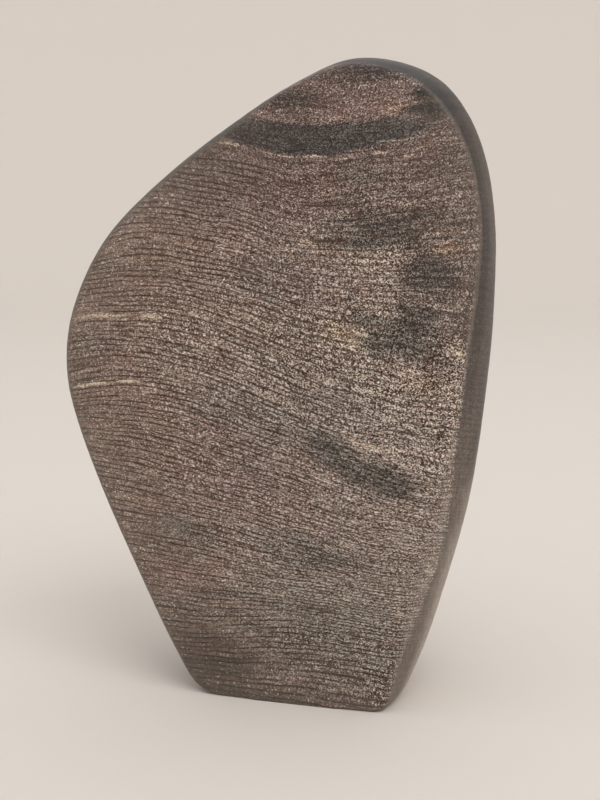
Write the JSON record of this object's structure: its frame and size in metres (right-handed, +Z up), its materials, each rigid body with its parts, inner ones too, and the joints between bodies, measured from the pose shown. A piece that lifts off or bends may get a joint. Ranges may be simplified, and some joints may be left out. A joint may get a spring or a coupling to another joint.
{
  "type": "petrified wood freeform",
  "caption": "Upright shaped piece of grey-brown banded petrified wood with a flat lapped face, rounded rim, domed back and sawn foot, for display on a shelf.",
  "frame": {"origin": "on the surface it stands on, under the centre of the bounding box", "axes": "+Z up; -Y out of the lapped face; +X to the right as the lapped face is looked at"},
  "size_m": [0.083, 0.0384, 0.1204],
  "materials": {
    "petrified_wood": "satin, lapped and hand-polished silicified wood, grey-brown with fine grain lines, pale specks and a charcoal band"
  },
  "bodies": {
    "root": {"stone": "petrified_wood"}
  },
  "joints": []
}
